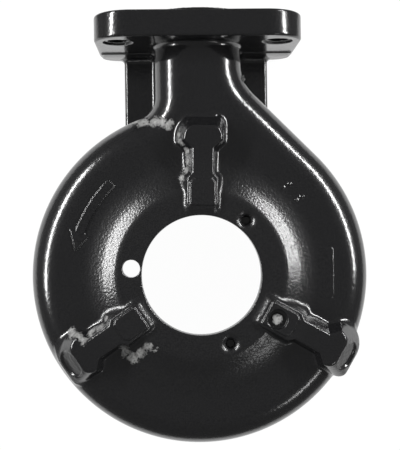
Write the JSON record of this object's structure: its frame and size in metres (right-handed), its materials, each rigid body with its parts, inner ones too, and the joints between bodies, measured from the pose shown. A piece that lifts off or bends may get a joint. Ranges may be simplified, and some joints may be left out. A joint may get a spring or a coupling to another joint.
{
  "type": "volute pump casing",
  "caption": "Cast volute casing of a centrifugal pump: open suction ring with lugs, snail-shaped scroll, and a flanged discharge neck on the centre line.",
  "frame": {"origin": "centre of the motor-side mouth, in the machined motor face", "axes": "+Z along the pump axis towards the suction ring, +Y towards the discharge flange, +X to the right seen from the suction side"},
  "size_m": [0.314, 0.4006, 0.122],
  "materials": {
    "painted_iron": "gloss black paint over the rough cast skin"
  },
  "bodies": {
    "root": {"volute_casing": "painted_iron"}
  },
  "joints": []
}
